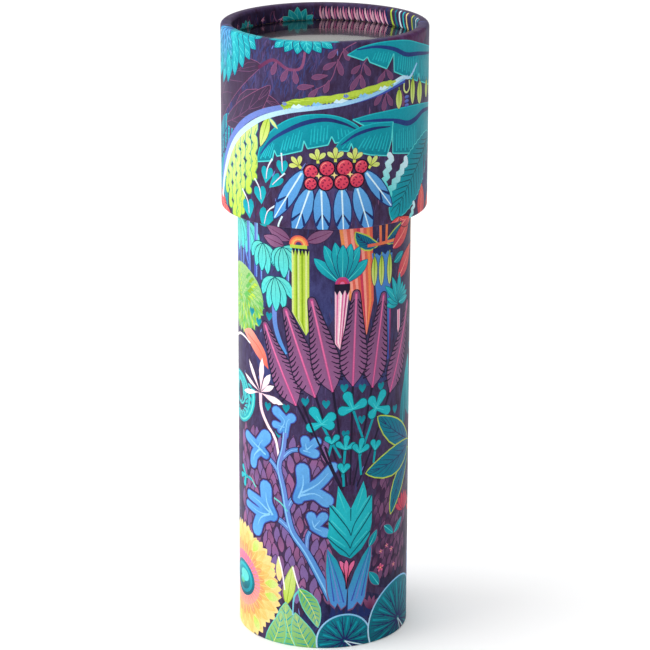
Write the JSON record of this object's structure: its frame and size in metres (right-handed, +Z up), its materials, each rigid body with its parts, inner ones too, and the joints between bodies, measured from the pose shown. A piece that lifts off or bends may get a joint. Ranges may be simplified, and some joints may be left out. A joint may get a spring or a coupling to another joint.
{
  "type": "kaleidoscope",
  "caption": "Card-tube kaleidoscope standing on its eyepiece end, with a wider turning head that holds loose beads under a recessed clear window.",
  "frame": {"origin": "centre of the eyepiece end's bottom edge, on the surface the object stands on", "axes": "+Z up the axis from the eyepiece end to the rim of the head; the printed front faces -Y"},
  "size_m": [0.06, 0.06, 0.184],
  "materials": {
    "card": "matte",
    "printed_barrel": "satin printed paper",
    "printed_head": "satin printed paper",
    "dark_card": "matte",
    "black_card": "matte",
    "foam": "matte foam",
    "mirror": "polished",
    "clear_plastic": "polished clear plastic",
    "frosted_plastic": "frosted",
    "white_plastic": "gloss",
    "red_bead": "gloss",
    "amber_bead": "gloss",
    "silver_sequin": "polished",
    "blue_bead": "gloss",
    "green_bead": "gloss",
    "violet_chip": "gloss",
    "turquoise_chip": "gloss"
  },
  "bodies": {
    "barrel": {"barrel_tube": "card", "barrel_wrap": "printed_barrel", "eyepiece_ring": "dark_card", "eyepiece_disc": "dark_card", "eyepiece_window": "clear_plastic", "mirror_1": "mirror", "mirror_2": "mirror", "mirror_3": "mirror", "mirror_sleeve": "black_card", "mirror_seat_lower": "foam", "mirror_seat_upper": "foam", "barrel_collar": "card"},
    "head": {"head_shell": "card", "head_wrap": "printed_head", "head_liner": "card", "chamber_support": "black_card", "chamber_floor": "clear_plastic", "chamber_wall": "white_plastic", "diffuser_disc": "frosted_plastic", "window_spacer": "dark_card", "cover_window": "clear_plastic"},
    "loose_pieces": {"round_beads_large": "red_bead", "round_beads_small": "amber_bead", "star_sequins": "silver_sequin", "tube_beads": "blue_bead", "ring_beads": "green_bead", "triangle_chips": "violet_chip", "hexagon_chips": "turquoise_chip"}
  },
  "joints": [
    {"name": "head_turn", "type": "hinge", "parent": "barrel", "child": "head", "pos_m": [0, 0, 0.147], "axis": [0, 0, 1], "continuous": true},
    {"name": "bead_tumble", "type": "hinge", "parent": "head", "child": "loose_pieces", "pos_m": [0, 0, 0.1673], "axis": [0, 0, 1], "continuous": true}
  ]
}
